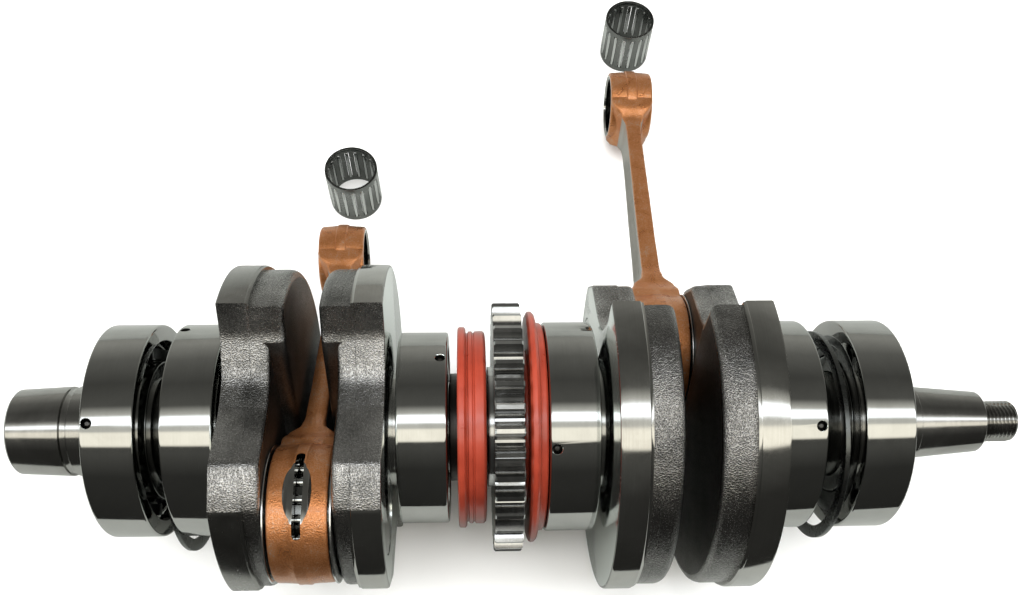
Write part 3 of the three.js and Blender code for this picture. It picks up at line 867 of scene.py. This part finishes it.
def conrod(side, swing, rock=0.0, shift=0.0):
    mid, py, pz = PIN[side]
    mid += shift
    def shank_skin(row, k):
        """The shank's flat sides are rubbed grey between the two flares."""
        return SIDE if 34 < SHANK_STATIONS[row] < 131 and k % 16 in SHANK_FLAT else 0

    shank = Shape().loft([shank_loop(a) for a in SHANK_STATIONS], shank_skin)
    body = make(f"{side}_conrod_forging", rod_end(ROD_BIG_R, ROD_HALF, 0.75, 0, 0.9), ROD_MATERIALS, None)
    small = make("tool", rod_end(ROD_SMALL_R, ROD_HALF, 1.0, ROD_LENGTH, 1.3), ROD_MATERIALS, None)
    carve(body, [make("tool", shank, ROD_MATERIALS, None), small], "UNION")
    bores = []
    for along, r, chamfer, flare in ((0, ROD_BIG_BORE, 0.7, 1.6), (ROD_LENGTH, ROD_SMALL_BORE, 0.8, 2.4)):
        profile = [(-12, 0), (-12, r + flare), (-ROD_HALF + chamfer, r), (ROD_HALF - chamfer, r),
                   (12, r + flare), (12, 0)]
        bores.append(tool(Shape().lathe(profile, 96, (along, 0)), "rim"))
    cuts = []
    for s in (1, -1):
        # narrow oil slot, then the round-bottomed window milled across it
        slot = Shape().loft([[(x, y, z) for x, y in SLOT_OUTLINE] for z in (12.0, 32.0)])
        lens = Shape().lathe(disc(-30, 30, 6.6), 48)
        lens.verts = [(z, x, y + ROD_BIG_R + 3.95) for x, y, z in lens.verts]
        for cutter in (slot, lens):
            lean = Matrix.Rotation(math.radians(22 if s > 0 else 158), 4, "X")
            cuts.append(tool(cutter.moved(lean), "rim"))
    # painted shade: the oil holes' walls are cut with the dark material so they read dark
    for s in (1, -1):
        hole = Shape().lathe(disc(0, 30, 1.5), 24)
        hole.verts = [(z, x, y) for x, y, z in hole.verts]
        lean = Matrix.Rotation(math.radians(s * 14), 4, "X")
        cuts.append(tool(hole.moved(lean), "dark"))
    carve(body, cuts + bores, sharp=38)
    place = (Matrix.Translation((mid, py, pz)) @ Matrix.Rotation(math.radians(-rock), 4, "Z")
             @ Matrix.Rotation(math.radians(swing), 4, "X"))
    body.data.transform(Matrix.Scale(MM, 4) @ place @ Matrix.Scale(1 / MM, 4))
    join_frame(body, f"{side}_rod", f"{side}_conrod")
    return body


def rod_swing(side, lift):
    """The rod lies with its small end on or near the surface, so its lean follows from the pin's height."""
    table = min(node_span(f"{s}_small_end_needle_cage")[0][2] for s in ("left", "right"))
    drop = PIN[side][2] - (table + ROD_SMALL_R + lift)
    return -math.degrees(math.asin(drop / ROD_LENGTH))


conrod("left", rod_swing("left", 0))
conrod("right", rod_swing("right", RIGHT_ROD_LIFT), RIGHT_ROD_ROCK, RIGHT_ROD_SHIFT)


# ---------------------------------------------------------------- needle roller cages
def roller(shape, x0, x1, r, y, z, segments=16, mat=1):
    profile = fillet(disc(x0, x1, r), [0, 0.35 * r, 0.35 * r, 0], 3, False)
    part = Shape().lathe(profile, segments, (y, z))
    return shape.add(part.verts, part.faces, mat)


def cage_shell(half, r_in, r_out, windows, window_half, window_arc):
    """A thin drum with a window for each needle: two rims joined by bars."""
    shape = Shape()
    rim = fillet(band_profile(-half, -window_half, r_in, r_out), 0.18, 3)
    shape.lathe(rim, 96)
    shape.lathe([(-x, r) for x, r in rim], 96)
    waist = (r_out - r_in) * 0.42
    low, high, thin = r_in + 0.05, r_out - 0.05, r_out - waist
    for i in range(windows):
        a0 = TAU * (i + 0.5) / windows - (TAU / windows - window_arc) / 2
        a1 = TAU * (i + 0.5) / windows + (TAU / windows - window_arc) / 2
        rows = []
        for x, top in ((-window_half - 0.3, high), (-window_half + 1.2, high), (-window_half + 2.6, thin),
                       (window_half - 2.6, thin), (window_half - 1.2, high), (window_half + 0.3, high)):
            loop = []
            for r, order in ((low, (0, 0.5, 1)), (top, (1, 0.5, 0))):
                for t in order:
                    a = a0 + (a1 - a0) * t
                    loop.append((x, r * math.cos(a), r * math.sin(a)))
            rows.append(loop)
        shape.loft(rows)
    return shape


def needle_cage(half, r_in, r_out, pitch, needle_r, count, window_half):
    arc_width = 2 * (needle_r + 0.12) / pitch
    shape = cage_shell(half, r_in, r_out, count, window_half, arc_width)
    for i in range(count):
        a = TAU * i / count
        reach = window_half - 0.1
        roller(shape, -reach, reach, needle_r, pitch * math.cos(a), pitch * math.sin(a))
    return shape


CAGE_TURN = 0.11             # how far a standing cage is turned about its own axis, in radians
for side in ("left", "right"):
    x, y, z = PIN[side]
    cage = needle_cage(9.0, 16.2, 17.9, 17.1, 1.75, 16, 7.2).moved(Matrix.Translation((x, y, z)))
    make(f"{side}_big_end_rollers", cage, ["cage", "needle"], f"{side}_big_end_cage",
         f"{side}_big_end_needle_cage", sharp=40)
    low, high = node_span(f"{side}_small_end_needle_cage")
    centre = [(p + q) / 2 for p, q in zip(low, high)]
    upright = (Matrix.Translation(centre) @ Matrix.Rotation(math.radians(90), 4, "Y")
               @ Matrix.Rotation(CAGE_TURN, 4, "X"))
    cage = needle_cage(12.4, 11.2, 12.4, 11.7, 0.85, 17, 9.8).moved(upright)
    make(f"{side}_small_end_rollers", cage, ["cage", "needle"], f"{side}_small_end_cage",
         f"{side}_small_end_needle_cage", sharp=40)


# ---------------------------------------------------------------- gear, key, sleeve, seals, rings
GEAR_TEETH = 36
GEAR_MODULE = 2.5
GEAR_PHASE = 2.2
GEAR_X = (-203.5, -193.1)


def gear_outline(drop=0.0):
    """Involute teeth; drop lowers the tips for the edge chamfer."""
    pitch_r = GEAR_TEETH * GEAR_MODULE / 2
    base_r = pitch_r * math.cos(math.radians(20))
    tip_r = pitch_r + GEAR_MODULE - drop
    root_r = pitch_r - 1.25 * GEAR_MODULE - drop * 0.3

    def involute(r):
        t = math.sqrt(max(0.0, (r / base_r) ** 2 - 1))
        return t - math.atan(t)

    foot_r = max(base_r, root_r + 0.7)
    half_pitch = math.pi / (2 * GEAR_TEETH) - 0.004
    points = []
    for i in range(GEAR_TEETH):
        mid = TAU * i / GEAR_TEETH + math.radians(GEAR_PHASE)
        flank = []
        for k in range(6):
            r = foot_r + (tip_r - foot_r) * k / 5
            flank.append((r, half_pitch + involute(pitch_r) - involute(r)))
        foot = flank[0][1] + 0.010
        side = [(root_r, foot + 0.012), (root_r + 0.35, foot), *flank]
        for r, a in side:
            points.append((r * math.cos(mid - a), r * math.sin(mid - a)))
        for r, a in side[::-1]:
            points.append((r * math.cos(mid + a), r * math.sin(mid + a)))
    return points


gear = Shape()
g0, g1 = GEAR_X
gear.loft([[(x, y, z) for y, z in gear_outline(d)] for x, d in
           ((g0, 0.55), (g0 + 0.5, 0.0), (g1 - 0.5, 0.0), (g1, 0.55))])
gear_piece = make("centre_gear_teeth", gear, ["gear"], None, sharp=24)
hub = make("tool", shaft_shape([(g0 - 2, 23), (g0 + 1, 23)]), ["gear"], None)
carve(gear_piece, [hub], "UNION", sharp=24)
bore = tool(Shape().lathe(disc(g0 - 5, g1 + 5, 17.7), 96), "gear")
carve(gear_piece, [bore], sharp=24)
join_frame(gear_piece, "crank", "centre_gear")

key_node = frame["nodes"]["gear_key"]
key_node.data.materials.clear()
key_node.data.materials.append(MAT["pin"])

sleeve = Shape().lathe(fillet(band_profile(-219.7, -205.9, 17.7, 20.6), 0.6, 4))
make("seal_sleeve_ring", sleeve, ["dark"], "crank", "seal_sleeve")

SEAL_LEFT = node_span("left_centre_seal")[0][0]
SEAL_RIGHT = node_span("right_centre_seal")[0][0]
left_profile = fillet([
    (0, 21.3), (0, 24), (0.9, 25), (0.9, 33), (0, 34), (0, 37.8), (0.5, 38.4), (2.4, 38.4), (3.0, 37.6),
    (3.1, 36.2), (3.7, 35.9), (3.9, 36.7), (5.3, 36.8), (5.6, 36.2), (6.0, 36.2), (6.3, 36.8), (9.4, 36.8),
    (10.2, 36.0), (10.4, 34.5), (10.4, 25), (9.4, 24), (9.4, 21.3)], 0.28, 3)
left_seal = Shape().lathe([(x + SEAL_LEFT, r) for x, r in left_profile], 144)
make("left_seal_body", left_seal, ["seal"], "left_seal", "left_centre_seal", sharp=40)
right_profile = fillet([
    (0, 20.9), (0, 29), (0.5, 29.7), (1.5, 29.7), (1.6, 30.6), (1.6, 42.4), (2.3, 43.9), (3.0, 44.2),
    (3.9, 44.1), (4.8, 43.2), (5.2, 41.6), (5.3, 40.2), (5.9, 39.9), (7.2, 39.7), (7.9, 38.9), (8.0, 37.5),
    (8.0, 20.9)], 0.3, 3)
right_seal = Shape().lathe([(x + SEAL_RIGHT, r) for x, r in right_profile], 144)
make("right_seal_body", right_seal, ["seal"], "right_seal", "right_centre_seal", sharp=40)

# loose rings that hang between each outer pair of bearings
RING_OUT, RING_IN = 40.0, 35.4
for name in ("pto", "mag"):
    low, high = node_span(f"{name}_retaining_ring")
    hoop = fillet(band_profile(low[0], high[0], RING_IN, RING_OUT), 0.3, 3)
    centre = ((low[1] + high[1]) / 2, (low[2] + high[2]) / 2)
    make(f"{name}_spring_ring", Shape().lathe(hoop, 144, centre), ["ring"], f"{name}_ring",
         f"{name}_retaining_ring")


# ---------------------------------------------------------------- floor, light, camera
TABLE_Z = CAD_BOX[0].z
FLOOR_X = (-1.6, 1.2)
FLOOR_Y = (-0.13, 1.6)
floor_mesh = bpy.data.meshes.new("floor")
floor_corners = [(FLOOR_X[0], FLOOR_Y[0], TABLE_Z), (FLOOR_X[1], FLOOR_Y[0], TABLE_Z),
                 (FLOOR_X[1], FLOOR_Y[1], TABLE_Z), (FLOOR_X[0], FLOOR_Y[1], TABLE_Z)]
floor_mesh.from_pydata(floor_corners, [], [(0, 1, 2, 3)])
floor = bpy.data.objects.new("floor", floor_mesh)
bpy.context.scene.collection.objects.link(floor)
# Painted reflection: the camera sees the floor pale, while reflections in the metal and bounced light see it
# painted a dim grey.
floor_mat = material("floor_with_painted_dim_reflection", (0.9, 0.9, 0.9), 0.0, 0.6)
n = Nodes(floor_mat)
eye = n.add("ShaderNodeLightPath").outputs["Is Camera Ray"]
paint = n.add("ShaderNodeMix", data_type="RGBA")
n.link(eye, paint.inputs["Factor"])
COLOUR_A, COLOUR_B = 6, 7            # the mix node's colour inputs share their names with others
# painted reflection: the dim grey floor that every ray except the camera's sees
PAINTED_DIM_REFLECTION = [(0.3, (0.33, 0.345, 0.33)), (0.7, (0.38, 0.395, 0.375))]
SEEN = [(0.3, (0.93, 0.93, 0.93)), (0.7, (0.96, 0.96, 0.96))]
n.link(n.ramp(n.noise(8, 3.0), PAINTED_DIM_REFLECTION), paint.inputs[COLOUR_A])
n.link(n.ramp(n.noise(8, 3.0), SEEN), paint.inputs[COLOUR_B])
n.colour(paint.outputs[2])
floor_mesh.materials.append(floor_mat)

# A plain studio round the crank axis, by degrees from the far horizon over the top: a pale far wall,
# a dim ceiling, two soft boxes side by side overhead and the dark side that the camera stands on.
NEUTRAL, COOL, WARM = (1.0, 1.0, 0.92), (0.96, 1.0, 1.04), (1.0, 0.96, 0.84)
FAR_SIDE = [(-90, 0.3), (5, 0.45), (30, 0.2), (60, 0.1), (85, 0.15)]      # (angle, brightness)
SOFT_BOXES = [(97, 104, 3.5, COOL), (113, 126, 2.0, WARM)]                # (first, last, brightness, tint)
BOX_EDGE = 2             # degrees over which a box fades at each side
BETWEEN_BOXES = 1.0
NEAR_SIDE = [(135, 0.12), (160, 0.05), (270, 0.02)]


def tinted(brightness, tint=NEUTRAL):
    return tuple(brightness * c for c in tint)


STUDIO = [(a, tinted(v)) for a, v in FAR_SIDE]
for first, last, brightness, tint in SOFT_BOXES:
    STUDIO += [(first - BOX_EDGE, tinted(BETWEEN_BOXES)), (first, tinted(brightness, tint)),
               (last, tinted(brightness, tint)), (last + BOX_EDGE, tinted(BETWEEN_BOXES))]
STUDIO[-1] = (STUDIO[-1][0], tinted(NEAR_SIDE[0][1]))
STUDIO += [(a, tinted(v)) for a, v in NEAR_SIDE]
PALE = (0.93, 0.935, 0.94, 1)
world = bpy.data.worlds.new("studio")
bpy.context.scene.world = world
world.use_nodes = True
tree = world.node_tree
room = tree.nodes["Background"]
coord = tree.nodes.new("ShaderNodeTexCoord")
split = tree.nodes.new("ShaderNodeSeparateXYZ")
tree.links.new(coord.outputs["Generated"], split.inputs["Vector"])
forward = tree.nodes.new("ShaderNodeMath")
forward.operation = "MULTIPLY"
forward.inputs[1].default_value = -1.0
tree.links.new(split.outputs["Y"], forward.inputs[0])
angle = tree.nodes.new("ShaderNodeMath")
angle.operation = "ARCTAN2"
tree.links.new(forward.outputs["Value"], angle.inputs[0])
tree.links.new(split.outputs["Z"], angle.inputs[1])
part = tree.nodes.new("ShaderNodeMapRange")
part.inputs["From Min"].default_value = -math.pi
part.inputs["From Max"].default_value = math.pi
tree.links.new(angle.outputs["Value"], part.inputs["Value"])
ramp = tree.nodes.new("ShaderNodeValToRGB")
elements = ramp.color_ramp.elements
while len(elements) < len(STUDIO):
    elements.new(0.5)
for element, (place, colour) in zip(elements, STUDIO):
    element.position = (place + 90) / 360
    element.color = (*colour, 1)
tree.links.new(part.outputs["Result"], ramp.inputs["Fac"])
tree.links.new(ramp.outputs["Color"], room.inputs["Color"])
backdrop = tree.nodes.new("ShaderNodeBackground")
backdrop.inputs["Color"].default_value = PALE
path = tree.nodes.new("ShaderNodeLightPath")
mix = tree.nodes.new("ShaderNodeMixShader")
tree.links.new(path.outputs["Is Camera Ray"], mix.inputs["Fac"])
tree.links.new(room.outputs["Background"], mix.inputs[1])
tree.links.new(backdrop.outputs["Background"], mix.inputs[2])
tree.links.new(mix.outputs["Shader"], tree.nodes["World Output"].inputs["Surface"])


def soft_box(name, place, aim, width, height, power, colour):
    light = bpy.data.lights.new(name, "AREA")
    light.shape = "RECTANGLE"
    light.size, light.size_y = width, height
    light.energy = power
    light.color = colour
    lamp = bpy.data.objects.new(name, light)
    lamp.location = place
    lamp.rotation_mode = "QUATERNION"
    lamp.rotation_quaternion = (Vector(aim) - Vector(place)).to_track_quat("-Z", "Y")
    lamp.visible_glossy = False
    bpy.context.scene.collection.objects.link(lamp)


soft_box("key", (-0.2, 0.1, 1.5), (-0.2, 0.05, 0.0), 1.8, 1.4, 34, (1.0, 0.99, 0.97))
soft_box("left_fill", (-1.5, 0.2, 0.9), (-0.2, 0.0, 0.0), 1.0, 1.0, 9, (0.96, 0.98, 1.0))
soft_box("right_fill", (1.1, 0.2, 0.9), (-0.2, 0.0, 0.0), 1.0, 1.0, 9, (0.96, 0.98, 1.0))

camera_data = bpy.data.cameras.new("camera")
camera = bpy.data.objects.new("camera", camera_data)
bpy.context.scene.collection.objects.link(camera)
SENSOR = 36.0                        # millimetres
FOCAL_OF_WIDTH = 0.9488              # focal length over the frame's width
ELEVATION = 70                       # degrees above the surface, before the twist
TWIST = Vector((0.03413, -0.04139, -0.01032))        # small turn about its own axes, in radians
CAMERA_PLACE = Vector((-0.21138, -0.12962, 0.35153))
camera_data.sensor_width = SENSOR
camera_data.lens = SENSOR * FOCAL_OF_WIDTH
camera_data.shift_y = 0.0977
camera_data.clip_start, camera_data.clip_end = 0.01, 50.0
lean = math.radians(ELEVATION)
base = Matrix(((1, 0, 0), (0, math.sin(lean), -math.cos(lean)), (0, math.cos(lean), math.sin(lean))))
turned_base = base @ Matrix.Rotation(TWIST.length, 3, TWIST.normalized())
camera.matrix_world = Matrix.Translation(CAMERA_PLACE) @ turned_base.to_4x4()
bpy.context.scene.camera = camera
bpy.context.scene.view_settings.view_transform = "Standard"
